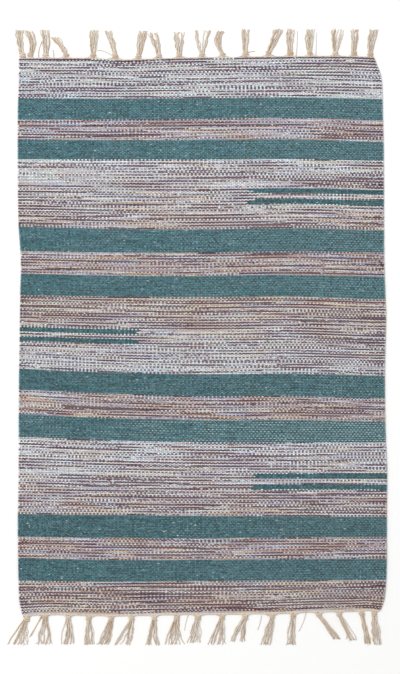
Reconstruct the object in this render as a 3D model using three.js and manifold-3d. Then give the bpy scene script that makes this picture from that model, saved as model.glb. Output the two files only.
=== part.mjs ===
// A flat-woven cotton kilim rug with knotted fringes, lying flat. Millimetres, +Z up.
// X runs across the rug, Y along it, and the floor is at Z = 0.

import * as THREE from 'three';
import Module from 'manifold-3d';
import { mergeVertices } from 'three/addons/utils/BufferGeometryUtils.js';

const wasm = await Module();
wasm.setup();

// Sizes of the cloth.

const THICKNESS = 4.0; // in the middle of the cloth
const EDGE_THICKNESS = 3.2; // where the weft turns at a selvedge or an end
const EDGE_ROUNDING = 5.0; // how far in from an edge the full thickness is reached
const RIPPLE = 0.35; // height of the cloth's slow unevenness
const RIPPLE_ACROSS = 210; // its wavelengths
const RIPPLE_ALONG = 155;
const RIPPLE_SLANT = 0.3;
const GAP = 0.3; // between the cloth and the strip that holds a fringe

const PANEL_WIDTH = 600; // woven size
const PANEL_LENGTH = 912;
const PANEL_COLUMNS = 18;
const PANEL_ROWS = 28;

// The cloth's outline. It draws in at the corners and bulges a little between them.

const SIDES = [
  { along: -455, left: -295.0, right: 292.5 },
  { along: -437, left: -299.0, right: 299.0 },
  { along: -417, left: -300.0, right: 302.0 },
  { along: -378, left: -301.0, right: 303.8 },
  { along: -300, left: -301.6, right: 304.0 },
  { along: -220, left: -300.4, right: 304.4 },
  { along: -160, left: -300.2, right: 302.0 },
  { along: -60, left: -299.6, right: 300.8 },
  { along: 36, left: -298.2, right: 303.0 },
  { along: 56, left: -298.0, right: 302.0 },
  { along: 125, left: -296.8, right: 299.7 },
  { along: 194, left: -301.0, right: 299.3 },
  { along: 312, left: -301.8, right: 298.7 },
  { along: 371, left: -301.6, right: 297.2 },
  { along: 411, left: -300.2, right: 296.4 },
  { along: 430, left: -300.0, right: 293.8 },
  { along: 444, left: -300.0, right: 288.6 },
  { along: 457, left: -300.0, right: 283.6 },
];

const ENDS = [
  { across: -300, bottom: -458.0, top: 455.5 },
  { across: -250, bottom: -455.0, top: 455.5 },
  { across: -185, bottom: -456.6, top: 455.5 },
  { across: -130, bottom: -457.0, top: 452.8 },
  { across: -50, bottom: -455.2, top: 455.4 },
  { across: 50, bottom: -454.3, top: 457.0 },
  { across: 130, bottom: -453.2, top: 458.2 },
  { across: 180, bottom: -451.0, top: 458.6 },
  { across: 245, bottom: -449.6, top: 458.4 },
  { across: 275, bottom: -448.6, top: 457.2 },
  { across: 295, bottom: -450.6, top: 456.4 },
];

// Sizes of the fringes. A twined strip of warp ends runs along each end of the cloth.

const STRIP_HEIGHT = 2.6;
const STRIP_OUTER_HEIGHT = 1.8;
const STRIP_WIDTH_TOP = 4.0;
const STRIP_WIDTH_BOTTOM = 6.0;

const KNOT_WIDTH = 10.0;
const KNOT_LENGTH = 8.0;
const KNOT_HEIGHT = 5.0;
const KNOT_STANDS_OUT = 2.2; // from the strip's outer edge to the knot's middle
const KNOT_WAIST = 0.14; // how deep the turns of yarn round the knot press in
const KNOT_TURNS = 3;
const KNOT_SLANT = 0.5; // of those turns, to one side and the other by turns
const KNOT_UNDERSIDE = -0.5; // the share of the lump below this is flat on the floor
const KNOT_SIDES = 7;
const KNOT_RINGS = 4;

const LOCKS = 7; // of yarn in a tassel
const LOCK_STEPS = 3;
const LOCK_FILL = 0.74; // a lock's width as a share of the spacing between locks
const LOCK_WIDEST = 2.2;
const LOCK_HEIGHT_ROOT = 2.4;
const LOCK_HEIGHT_TIP = 1.7;
const ROOT_SPREAD = 8.2; // across the locks where they leave the knot
const RAGGED = 1.6; // how unevenly the locks end

// Each tassel: where it leaves the strip and where its tip lies across the rug, how far it
// reaches out, how wide the tip fans, how far it bows sideways, and how far its tip forks.

const TOP_TASSELS = [
  { root: -295.0, tip: -300.0, reach: 41.0, fan: 10.0, bow: -1.0, fork: 0.0 },
  { root: -282.0, tip: -285.5, reach: 40.0, fan: 11.0, bow: 5.0, fork: 0.0 },
  { root: -257.0, tip: -260.0, reach: 41.0, fan: 10.0, bow: 2.0, fork: 0.0 },
  { root: -223.0, tip: -242.0, reach: 29.0, fan: 11.0, bow: 2.5, fork: 0.0 },
  { root: -178.5, tip: -177.0, reach: 41.0, fan: 14.5, bow: 0.0, fork: 0.0 },
  { root: -142.0, tip: -154.5, reach: 42.0, fan: 11.0, bow: 1.0, fork: 0.0 },
  { root: -104.0, tip: -96.0, reach: 41.5, fan: 13.0, bow: 0.5, fork: 0.0 },
  { root: -70.5, tip: -79.5, reach: 37.5, fan: 12.0, bow: 0.5, fork: 3.5 },
  { root: -37.0, tip: -38.0, reach: 37.0, fan: 15.0, bow: 0.0, fork: 0.0 },
  { root: 0.5, tip: 1.0, reach: 40.0, fan: 12.5, bow: -1.0, fork: 13.0 },
  { root: 34.5, tip: 30.5, reach: 38.0, fan: 11.0, bow: -5.5, fork: 0.0 },
  { root: 72.0, tip: 72.0, reach: 40.0, fan: 11.5, bow: 0.0, fork: 0.0 },
  { root: 109.5, tip: 126.0, reach: 39.5, fan: 13.5, bow: -0.5, fork: 0.0 },
  { root: 145.5, tip: 147.0, reach: 39.5, fan: 10.5, bow: -1.0, fork: 0.0 },
  { root: 178.0, tip: 177.5, reach: 39.0, fan: 12.0, bow: -0.5, fork: 0.0 },
  { root: 219.5, tip: 222.5, reach: 38.5, fan: 14.0, bow: -0.5, fork: 2.5 },
  { root: 250.5, tip: 253.0, reach: 39.0, fan: 11.5, bow: 0.0, fork: 0.0 },
  { root: 277.5, tip: 283.0, reach: 40.0, fan: 11.0, bow: -1.5, fork: 0.0 },
];

const BOTTOM_TASSELS = [
  { root: -288.0, tip: -301.0, reach: 42.0, fan: 22.0, bow: -1.5, fork: 4.0 },
  { root: -257.5, tip: -260.0, reach: 43.5, fan: 20.0, bow: 1.0, fork: 0.0 },
  { root: -219.5, tip: -220.0, reach: 43.0, fan: 12.5, bow: 1.5, fork: 4.0 },
  { root: -186.0, tip: -186.0, reach: 42.5, fan: 14.0, bow: 0.0, fork: 0.0 },
  { root: -149.0, tip: -161.0, reach: 42.5, fan: 14.0, bow: 1.0, fork: 0.0 },
  { root: -115.0, tip: -130.5, reach: 43.0, fan: 15.0, bow: 1.0, fork: 9.0 },
  { root: -78.0, tip: -79.5, reach: 44.0, fan: 18.5, bow: 0.5, fork: 4.0 },
  { root: -41.0, tip: -46.5, reach: 44.0, fan: 24.0, bow: 0.0, fork: 2.0 },
  { root: -6.5, tip: -12.0, reach: 41.0, fan: 18.0, bow: -0.5, fork: 0.0 },
  { root: 33.5, tip: 24.5, reach: 44.5, fan: 20.0, bow: 0.0, fork: 3.0 },
  { root: 71.5, tip: 60.0, reach: 40.0, fan: 14.0, bow: -1.0, fork: 7.0 },
  { root: 116.0, tip: 105.5, reach: 46.0, fan: 12.0, bow: 0.0, fork: 0.0 },
  { root: 150.5, tip: 148.0, reach: 47.0, fan: 10.5, bow: 0.0, fork: 0.0 },
  { root: 192.5, tip: 221.0, reach: 40.0, fan: 12.0, bow: 0.5, fork: 0.0 },
  { root: 226.0, tip: 247.5, reach: 42.0, fan: 11.0, bow: 0.0, fork: 0.0 },
  { root: 263.5, tip: 273.5, reach: 49.0, fan: 10.0, bow: 0.0, fork: 0.0 },
  { root: 284.0, tip: 290.0, reach: 50.0, fan: 13.0, bow: -0.5, fork: 0.0 },
];

// Single yarns that have come loose from a knot. The columns are those of a tassel.

const TOP_LOOSE = [
  { root: -243.0, tip: -244.5, reach: 15, bow: 0.5 },
  { root: 155.0, tip: 157.5, reach: 39, bow: 1.0 },
  { root: 187.5, tip: 188.5, reach: 37, bow: 0.5 },
];

const BOTTOM_LOOSE = [
  { root: -266.5, tip: -283.0, reach: 32, bow: 0.0 },
  { root: -21.0, tip: -28.0, reach: 25, bow: -1.0 },
];

const LOOSE_WIDTH = 1.2;

// Finishes.

const WEFT = { color: 0x8f8f97, roughness: 0.95, metalness: 0 };
const WARP = { color: 0xd7c8b9, roughness: 0.95, metalness: 0 };

// Reads a column of a table at a place between its rows, on a smooth curve through them.
function readTable(rows, place, column, at) {
  const last = rows.length - 1;
  let row = 0;
  while (row < last - 1 && rows[row + 1][place] < at) {
    row += 1;
  }
  const slope = (i) => {
    const before = rows[Math.max(i - 1, 0)];
    const after = rows[Math.min(i + 1, last)];
    return (after[column] - before[column]) / (after[place] - before[place]);
  };
  const span = rows[row + 1][place] - rows[row][place];
  const t = THREE.MathUtils.clamp((at - rows[row][place]) / span, 0, 1);
  const rise = rows[row + 1][column] - rows[row][column];
  const ease = t * t * (3 - 2 * t);
  const bend = t * (1 - t) * (1 - t) * slope(row) - t * t * (1 - t) * slope(row + 1);
  return rows[row][column] + ease * rise + span * bend;
}

// A place on the cloth, from 0 at its left side to 1, and from 0 at its bottom end to 1.
function clothPoint(across, along) {
  const nearY = THREE.MathUtils.lerp(SIDES[0].along, SIDES.at(-1).along, along);
  const x = THREE.MathUtils.lerp(
    readTable(SIDES, 'along', 'left', nearY),
    readTable(SIDES, 'along', 'right', nearY),
    across,
  );
  const bottom = readTable(ENDS, 'across', 'bottom', x);
  const top = readTable(ENDS, 'across', 'top', x);
  return new THREE.Vector2(x, THREE.MathUtils.lerp(bottom, top, along));
}

function clothHeight(x, y) {
  const across = Math.sin((2 * Math.PI * x) / RIPPLE_ACROSS);
  const along = Math.sin((2 * Math.PI * (y + RIPPLE_SLANT * x)) / RIPPLE_ALONG);
  return THICKNESS + 0.5 * RIPPLE * (across + along);
}

// Shares of a length for a row of points, with one more point just inside each end.
function evenShares(count, length) {
  const inside = EDGE_ROUNDING / length;
  const shares = [0];
  for (let i = 0; i <= count; i += 1) {
    shares.push(THREE.MathUtils.lerp(inside, 1 - inside, i / count));
  }
  shares.push(1);
  return shares;
}

function meshFrom(positions, triangles) {
  const geometry = new THREE.BufferGeometry();
  geometry.setAttribute('position', new THREE.Float32BufferAttribute(positions, 3));
  geometry.setIndex(triangles);
  return geometry;
}

function wovenPanel() {
  const across = evenShares(PANEL_COLUMNS, PANEL_WIDTH);
  const along = evenShares(PANEL_ROWS, PANEL_LENGTH);
  const columns = across.length;
  const rows = along.length;
  const layer = columns * rows;
  const positions = [];
  for (const isTop of [false, true]) {
    along.forEach((v, j) => {
      across.forEach((u, i) => {
        const point = clothPoint(u, v);
        const onEdge = i === 0 || j === 0 || i === columns - 1 || j === rows - 1;
        const height = onEdge ? EDGE_THICKNESS : clothHeight(point.x, point.y);
        positions.push(point.x, point.y, isTop ? height : 0);
      });
    });
  }
  const triangles = [];
  const quad = (a, b, c, d) => triangles.push(a, b, c, a, c, d);
  for (let j = 0; j < rows - 1; j += 1) {
    for (let i = 0; i < columns - 1; i += 1) {
      const a = j * columns + i;
      const b = a + 1;
      const c = b + columns;
      const d = a + columns;
      quad(layer + a, layer + b, layer + c, layer + d);
      quad(a, d, c, b);
    }
  }
  // The rim, walked anticlockwise as seen from above.
  const rim = [];
  for (let i = 0; i < columns - 1; i += 1) {
    rim.push(i);
  }
  for (let j = 0; j < rows - 1; j += 1) {
    rim.push(j * columns + columns - 1);
  }
  for (let i = columns - 1; i > 0; i -= 1) {
    rim.push((rows - 1) * columns + i);
  }
  for (let j = rows - 1; j > 0; j -= 1) {
    rim.push(j * columns);
  }
  rim.forEach((from, i) => {
    const to = rim[(i + 1) % rim.length];
    quad(from, to, layer + to, layer + from);
  });
  return meshFrom(positions, triangles);
}

// A closed bar through rings of points. Each ring goes round the bar the same way.
function barThrough(rings) {
  const sides = rings[0].length;
  const positions = rings.flat().flatMap((point) => point.toArray());
  const triangles = [];
  for (let k = 0; k < rings.length - 1; k += 1) {
    for (let i = 0; i < sides; i += 1) {
      const a = k * sides + i;
      const b = k * sides + ((i + 1) % sides);
      triangles.push(a, b, b + sides, a, b + sides, a + sides);
    }
  }
  const end = (rings.length - 1) * sides;
  for (let i = 1; i < sides - 1; i += 1) {
    triangles.push(0, i + 1, i, end, end + i, end + i + 1);
  }
  return meshFrom(positions, triangles);
}

function toSolid(geometry) {
  geometry.deleteAttribute('normal');
  geometry.deleteAttribute('uv');
  const merged = mergeVertices(geometry);
  return new wasm.Manifold(
    new wasm.Mesh({
      numProp: 3,
      vertProperties: Float32Array.from(merged.attributes.position.array),
      triVerts: Uint32Array.from(merged.index.array),
    }),
  );
}

function fromSolid(solid) {
  const { vertProperties, triVerts } = solid.getMesh();
  return meshFrom(Array.from(vertProperties), Array.from(triVerts));
}

// An end of the rug: where the cloth stops, which way is out, and its strip.
function endOf(isTop) {
  return {
    column: isTop ? 'top' : 'bottom',
    out: isTop ? 1 : -1,
    share: isTop ? 1 : 0,
    width: isTop ? STRIP_WIDTH_TOP : STRIP_WIDTH_BOTTOM,
  };
}

// A place beyond the cloth's end, by its distance across the rug and out from the cloth.
function beyond(end, x, distance) {
  return readTable(ENDS, 'across', end.column, x) + end.out * distance;
}

function stripBar(end) {
  const rings = evenShares(PANEL_COLUMNS, PANEL_WIDTH).slice(1, -1).map((share) => {
    const cloth = clothPoint(share, end.share);
    const near = cloth.y + end.out * GAP;
    const far = near + end.out * end.width;
    const ring = [
      new THREE.Vector3(cloth.x, near, 0),
      new THREE.Vector3(cloth.x, far, 0),
      new THREE.Vector3(cloth.x, far, STRIP_OUTER_HEIGHT),
      new THREE.Vector3(cloth.x, near, STRIP_HEIGHT),
    ];
    return end.out > 0 ? ring : ring.reverse();
  });
  return barThrough(rings);
}

// A knot is a lump with turns of yarn pressed round it, flat where it meets the floor.
function knotLump(x, y, slant) {
  const lump = new THREE.SphereGeometry(1, KNOT_SIDES, KNOT_RINGS);
  lump.rotateX(Math.PI / 2);
  const position = lump.attributes.position;
  const point = new THREE.Vector3();
  for (let i = 0; i < position.count; i += 1) {
    point.fromBufferAttribute(position, i);
    const size = 0.5 - 0.5 * KNOT_WAIST * Math.cos(KNOT_TURNS * (point.y + slant * point.x));
    const isUnder = point.z < KNOT_UNDERSIDE;
    position.setXYZ(
      i,
      x + KNOT_WIDTH * point.x * size,
      y + KNOT_LENGTH * point.y * size,
      isUnder ? 0 : KNOT_HEIGHT * (0.5 + point.z * size),
    );
  }
  return lump;
}

// A lock of yarn on the floor, three-sided, with its ridge on top.
function lockBar(path) {
  const rings = path.map(({ x, y, width, height }) => [
    new THREE.Vector3(x - width / 2, y, 0),
    new THREE.Vector3(x + width / 2, y, 0),
    new THREE.Vector3(x, y, height),
  ]);
  const towardsBottom = path[0].y > path.at(-1).y;
  return barThrough(towardsBottom ? rings : rings.map((ring) => ring.reverse()));
}

// The middle line of a tassel or a loose yarn at a share of its length.
function lineAt(row, share) {
  const bulge = 4 * share * (1 - share);
  return THREE.MathUtils.lerp(row.root, row.tip, share) + row.bow * bulge;
}

// The locks lie side by side. They fan out to the tip, where a fork parts the two halves.
function tasselPieces(end, tassel, index) {
  const knotY = beyond(end, tassel.root, GAP + end.width + KNOT_STANDS_OUT);
  const slant = index % 2 ? KNOT_SLANT : -KNOT_SLANT;
  const pieces = [knotLump(tassel.root, knotY, slant)];
  for (let k = 0; k < LOCKS; k += 1) {
    const side = k / (LOCKS - 1) - 0.5;
    const fork = side < 0 ? -0.5 * tassel.fork : 0.5 * tassel.fork;
    const reach = tassel.reach + RAGGED * Math.sin(2.4 * k + 1.7 * index);
    const path = [];
    for (let step = 0; step <= LOCK_STEPS; step += 1) {
      const t = step / LOCK_STEPS;
      const spread = THREE.MathUtils.lerp(ROOT_SPREAD, tassel.fan, t);
      path.push({
        x: lineAt(tassel, t) + side * spread + fork * t,
        y: knotY + end.out * reach * t,
        width: Math.min((LOCK_FILL * spread) / (LOCKS - 1), LOCK_WIDEST),
        height: THREE.MathUtils.lerp(LOCK_HEIGHT_ROOT, LOCK_HEIGHT_TIP, t),
      });
    }
    pieces.push(lockBar(path));
  }
  return pieces;
}

function loosePiece(end, loose) {
  const inStrip = beyond(end, loose.root, GAP + 0.5 * end.width);
  const path = [];
  for (let step = 0; step <= LOCK_STEPS; step += 1) {
    const t = step / LOCK_STEPS;
    path.push({
      x: lineAt(loose, t),
      y: inStrip + end.out * loose.reach * t,
      width: LOOSE_WIDTH,
      height: LOOSE_WIDTH,
    });
  }
  return lockBar(path);
}

function fringe(isTop, tassels, loose) {
  const end = endOf(isTop);
  const pieces = [stripBar(end)];
  tassels.forEach((tassel, index) => pieces.push(...tasselPieces(end, tassel, index)));
  loose.forEach((yarn) => pieces.push(loosePiece(end, yarn)));
  return fromSolid(wasm.Manifold.union(pieces.map(toSolid)));
}

function named(name, geometry, finish) {
  const mesh = new THREE.Mesh(geometry, new THREE.MeshStandardMaterial(finish));
  mesh.name = name;
  return mesh;
}

const rug = new THREE.Group();
rug.add(named('woven_panel', wovenPanel(), WEFT));
rug.add(named('fringe_top', fringe(true, TOP_TASSELS, TOP_LOOSE), WARP));
rug.add(named('fringe_bottom', fringe(false, BOTTOM_TASSELS, BOTTOM_LOOSE), WARP));

// The origin is on the floor, under the middle of the whole rug.
const middle = new THREE.Box3().setFromObject(rug).getCenter(new THREE.Vector3());
rug.position.set(-middle.x, -middle.y, 0);

export default rug;
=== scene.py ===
# %% [markdown]
# # A flat-woven kilim rug, made in Blender
#
# The rug lies flat on a pale floor, seen from straight above. It is a weft-faced cloth: the weft,
# the yarn that runs across, is beaten down so hard that it hides the warp, the yarn that runs
# along. The warp shows only at the two ends, where it is knotted into tassels.
#
# The script takes its frame, in metres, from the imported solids, so every piece that it makes can
# be put straight where the solid is. It goes through the job as a weaver would: the outline of
# the cloth, the bands, the weft pick by pick, the selvedges, and then the fringes.

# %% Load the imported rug
import math
from contextlib import contextmanager

import bpy
import numpy as np
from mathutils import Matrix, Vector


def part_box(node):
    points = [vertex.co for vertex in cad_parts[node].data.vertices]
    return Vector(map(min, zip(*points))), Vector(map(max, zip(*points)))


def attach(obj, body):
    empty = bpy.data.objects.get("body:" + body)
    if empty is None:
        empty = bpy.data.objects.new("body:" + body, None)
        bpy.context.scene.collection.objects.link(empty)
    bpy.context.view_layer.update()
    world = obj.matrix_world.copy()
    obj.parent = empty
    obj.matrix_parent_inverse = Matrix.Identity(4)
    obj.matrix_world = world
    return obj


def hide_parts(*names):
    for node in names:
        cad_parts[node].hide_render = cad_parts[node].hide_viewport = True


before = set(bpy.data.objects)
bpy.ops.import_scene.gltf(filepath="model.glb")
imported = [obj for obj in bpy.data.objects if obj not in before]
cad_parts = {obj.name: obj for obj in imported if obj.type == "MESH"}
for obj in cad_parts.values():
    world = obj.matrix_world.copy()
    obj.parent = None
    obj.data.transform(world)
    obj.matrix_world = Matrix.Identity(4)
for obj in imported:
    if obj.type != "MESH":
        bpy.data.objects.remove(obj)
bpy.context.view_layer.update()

# %% [markdown]
# ## Camera, floor and light
#
# The photograph was taken from straight above and far away, so that the rug's sides stay
# parallel. A long lens at three metres does the same. The lens is worked out from the length of
# floor that the picture covers, which is easier to trust than a lens found by trial.

# %% Camera
MM = 0.001
PICTURE_LENGTH = 1107.9 * MM
PICTURE_MIDDLE = (2.86 * MM, 0.31 * MM)
CAMERA_HEIGHT = 3.2
CLOTH_TOP = 4 * MM
SENSOR = 36.0

camera_data = bpy.data.cameras.new("camera_above")
camera_data.sensor_fit = "AUTO"
camera_data.sensor_width = SENSOR
camera_data.lens = SENSOR * (CAMERA_HEIGHT - CLOTH_TOP) / PICTURE_LENGTH
camera_data.dof.use_dof = False
camera = bpy.data.objects.new("camera_above", camera_data)
camera.location = (*PICTURE_MIDDLE, CAMERA_HEIGHT)
bpy.context.scene.collection.objects.link(camera)
bpy.context.scene.camera = camera
print("lens in mm:", round(camera_data.lens, 1))

# %% [markdown]
# The floor is one plain pale plane. A large soft lamp to the upper left gives the tassels a faint
# shadow to their right, as in the photograph, and an even pale sky fills the rest.

# %% Floor and light
bpy.context.scene.view_settings.view_transform = "Standard"
bpy.context.scene.view_settings.look = "None"


def from_screen(red, green, blue):
    """A colour as a screen shows it, 0 to 255, turned into the linear values that light needs."""
    shares = np.array([red, green, blue]) / 255
    low = shares / 12.92
    high = ((shares + 0.055) / 1.055) ** 2.4
    return (*(float(v) for v in np.where(shares <= 0.04045, low, high)), 1.0)


FLOOR_SIZE = 7
bpy.ops.object.select_all(action="DESELECT")
bpy.ops.mesh.primitive_plane_add(size=FLOOR_SIZE, location=(0, 0, 0))
floor = bpy.context.object
floor.name = "floor"

SKY_STRENGTH = 0.62
LAMP_POWER = 143
LAMP_SIZE = 2.3
LAMP_PLACE = (-1.8, 1.9, 4.2)

sky = bpy.data.worlds.new("studio_sky")
sky.use_nodes = True
sky_light = sky.node_tree.nodes["Background"]
sky_light.inputs["Color"].default_value = (1, 1, 1, 1)
sky_light.inputs["Strength"].default_value = SKY_STRENGTH
bpy.context.scene.world = sky

lamp_data = bpy.data.lights.new("soft_lamp", "AREA")
lamp_data.shape = "DISK"
lamp_data.size = LAMP_SIZE
lamp_data.energy = LAMP_POWER
lamp = bpy.data.objects.new("soft_lamp", lamp_data)
lamp.location = LAMP_PLACE
aim = np.array(LAMP_PLACE) / np.linalg.norm(LAMP_PLACE)
lamp.rotation_euler = (math.acos(aim[2]), 0, math.atan2(aim[1], aim[0]) + math.pi / 2)
bpy.context.scene.collection.objects.link(lamp)
print("floor, sky and one soft lamp")

# %% [markdown]
# ## Writing materials as sums
#
# A yarn's colour depends on where it is round the yarn and along it. In the node editor that
# takes dozens of Math nodes. Here a small class wraps a socket, so that an ordinary Python
# expression such as `1 - mask * 0.5` adds those nodes by itself. All other nodes come from one
# method, which takes the node's type, its settings and its inputs.


# %% A socket that can be used in sums
class Wire:
    """An output of a node. Sums with it add Math nodes."""

    def __init__(self, finish, socket):
        self.finish = finish
        self.socket = socket

    def _math(self, operation, first, second=None):
        inputs = {0: first} if second is None else {0: first, 1: second}
        return self.finish.node("ShaderNodeMath", {"operation": operation}, inputs)

    def __add__(self, other):
        return self._math("ADD", self, other)

    def __radd__(self, other):
        return self._math("ADD", other, self)

    def __sub__(self, other):
        return self._math("SUBTRACT", self, other)

    def __rsub__(self, other):
        return self._math("SUBTRACT", other, self)

    def __mul__(self, other):
        return self._math("MULTIPLY", self, other)

    def __rmul__(self, other):
        return self._math("MULTIPLY", other, self)

    def __gt__(self, other):
        return self._math("GREATER_THAN", self, other)

    def __lt__(self, other):
        return self._math("LESS_THAN", self, other)

    def sine(self):
        return self._math("SINE", self)

    def whole_part_off(self):
        return self._math("FRACT", self)


print("a wire adds, subtracts, multiplies and compares")


# %% A material and its nodes
class Finish:
    """A material that ends in one Principled shader."""

    def __init__(self, name, **constants):
        self.material = bpy.data.materials.new(name)
        self.material.use_nodes = True
        self.tree = self.material.node_tree
        self.shader = self.tree.nodes["Principled BSDF"]
        for socket, value in constants.items():
            self.shader.inputs[socket.replace("_", " ")].default_value = value

    def node(self, kind, settings=None, inputs=None, output=0):
        """A node of a type: first its settings, then the values or links of its sockets."""
        made = self.tree.nodes.new(kind)
        for setting, value in (settings or {}).items():
            if setting == "stops":
                self._set_stops(made.color_ramp, value)
            else:
                setattr(made, setting, value)
        for socket, value in (inputs or {}).items():
            self.feed(made.inputs[socket], value)
        return Wire(self, made.outputs[output])

    def _set_stops(self, ramp, stops):
        while len(ramp.elements) > 1:
            ramp.elements.remove(ramp.elements[-1])
        for index, (position, colour) in enumerate(stops):
            stop = ramp.elements[0] if index == 0 else ramp.elements.new(position)
            stop.position = position
            stop.color = colour if hasattr(colour, "__len__") else (colour, colour, colour, 1)

    def feed(self, socket, value):
        """Give a socket a value, or a link where the value is a wire."""
        if isinstance(value, Wire):
            self.tree.links.new(value.socket, socket)
        else:
            socket.default_value = value

    def mix(self, share, first, second, blend="MIX"):
        """Two colours mixed by a share, from 0 for the first to 1 for the second."""
        settings = {"data_type": "RGBA", "blend_type": blend}
        return self.node("ShaderNodeMix", settings, {0: share, 6: first, 7: second}, 2)

    def times(self, colour, factor, share=1.0):
        """A colour multiplied by a shade or a tint."""
        return self.mix(share, colour, factor, "MULTIPLY")

    def grey(self, value):
        """A number as a grey colour."""
        return self.node("ShaderNodeCombineXYZ", None, {0: value, 1: value, 2: value})

    def ramp(self, share, stops, stepped=False):
        """A colour read off a row of stops."""
        made = self.node("ShaderNodeValToRGB", {"stops": stops}, {0: share})
        if stepped:
            made.socket.node.color_ramp.interpolation = "CONSTANT"
        return made

    def carried(self, name):
        """The three numbers that the mesh carries under a name."""
        attribute = self.node("ShaderNodeAttribute", {"attribute_name": name}, None, 1)
        split = self.node("ShaderNodeSeparateXYZ", None, {0: attribute})
        return [Wire(self, part) for part in split.socket.node.outputs]

    def place(self):
        """Where a spot is on the rug, in metres."""
        return self.node("ShaderNodeTexCoord", None, None, 3)

    def noise(self, place, scale, detail=2, stretch=(1, 1, 1)):
        """Soft random patches, as a number from 0 to 1."""
        mapped = self.node("ShaderNodeMapping", None, {"Vector": place, "Scale": stretch})
        inputs = {"Vector": mapped, "Scale": scale, "Detail": detail}
        return self.node("ShaderNodeTexNoise", None, inputs)

    def finish(self, colour, height=None, depth=0.001, strength=0.5):
        """The material with its colour, and with its relief as bump where it has one."""
        self.feed(self.shader.inputs["Base Color"], colour)
        if height is not None:
            inputs = {"Height": height, "Distance": depth, "Strength": strength}
            normal = self.node("ShaderNodeBump", None, inputs)
            self.feed(self.shader.inputs["Normal"], normal)
        return self.material


print("helpers for materials are ready")

# %% Material of the floor
paper = Finish("pale_floor", Roughness=0.9)
grain = paper.noise(paper.place(), 3.0)
shade = paper.mix(grain, from_screen(249, 249, 248), from_screen(251, 251, 251))
floor.data.materials.append(paper.finish(shade))
print("floor material:", floor.data.materials[0].name)

# %% [markdown]
# ## The outline of the cloth
#
# A hand-woven cloth is never a true oblong. It draws in at the corners, and its selvedges wander
# by a few millimetres. Two short tables hold that unevenness: how far the left and right sides
# stand out at places along the rug, and where the bottom and top ends lie at places across it. A
# smooth curve runs through each column. These are the same numbers as in the solids.

# %% Tables of the outline, in millimetres
SIDES = {
    "along": [-455, -437, -417, -378, -300, -220, -160, -60, 36],
    "left": [-295.0, -299.0, -300.0, -301.0, -301.6, -300.4, -300.2, -299.6, -298.2],
    "right": [292.5, 299.0, 302.0, 303.8, 304.0, 304.4, 302.0, 300.8, 303.0],
}
SIDES["along"] += [56, 125, 194, 312, 371, 411, 430, 444, 457]
SIDES["left"] += [-298.0, -296.8, -301.0, -301.8, -301.6, -300.2, -300.0, -300.0, -300.0]
SIDES["right"] += [302.0, 299.7, 299.3, 298.7, 297.2, 296.4, 293.8, 288.6, 283.6]

ENDS = {
    "across": [-300, -250, -185, -130, -50, 50, 130, 180, 245, 275, 295],
    "bottom": [-458, -455, -456.6, -457, -455.2, -454.3, -453.2, -451, -449.6, -448.6, -450.6],
    "top": [455.5, 455.5, 455.5, 452.8, 455.4, 457, 458.2, 458.6, 458.4, 457.2, 456.4],
}

CLOTH_WIDTH = 600
CLOTH_LENGTH = 912
CLOTH_END = 455
CLOTH_THICKNESS = 4.0
EDGE_THICKNESS = 3.2
RIPPLE = 0.35
RIPPLE_ACROSS = 210
RIPPLE_ALONG = 155
RIPPLE_SLANT = 0.3


def read_table(table, place, column, at):
    """A column of a table at any places between its rows, on a smooth curve through them."""
    places = np.array(table[place], float)
    values = np.array(table[column], float)
    slopes = np.gradient(values)
    slopes[1:-1] = (values[2:] - values[:-2]) / (places[2:] - places[:-2])
    slopes[0] = (values[1] - values[0]) / (places[1] - places[0])
    slopes[-1] = (values[-1] - values[-2]) / (places[-1] - places[-2])
    row = np.clip(np.searchsorted(places, at) - 1, 0, len(places) - 2)
    span = places[row + 1] - places[row]
    t = np.clip((at - places[row]) / span, 0, 1)
    ease = t * t * (3 - 2 * t)
    bend = t * (1 - t) ** 2 * slopes[row] - t * t * (1 - t) * slopes[row + 1]
    return values[row] + ease * (values[row + 1] - values[row]) + span * bend


def left_at(y):
    return read_table(SIDES, "along", "left", y)


def right_at(y):
    return read_table(SIDES, "along", "right", y)


def cloth_height(x, y):
    """The height of the cloth's upper face, which rises and falls a little."""
    across = np.sin(2 * np.pi * x / RIPPLE_ACROSS)
    along = np.sin(2 * np.pi * (y + RIPPLE_SLANT * x) / RIPPLE_ALONG)
    return CLOTH_THICKNESS + 0.5 * RIPPLE * (across + along)


# The tables start from the middle of the woven part. The solids' origin is under the middle of
# the whole rug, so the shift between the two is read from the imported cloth.
panel_low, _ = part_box("woven_panel")
farthest = SIDES["along"][-1]
leftmost = left_at(np.linspace(-farthest, farthest, 400)).min()
SHIFT = np.array([panel_low.x / MM - leftmost, panel_low.y / MM - min(ENDS["bottom"]), 0.0])
print("shift of the tables in mm:", SHIFT.round(2))
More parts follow.
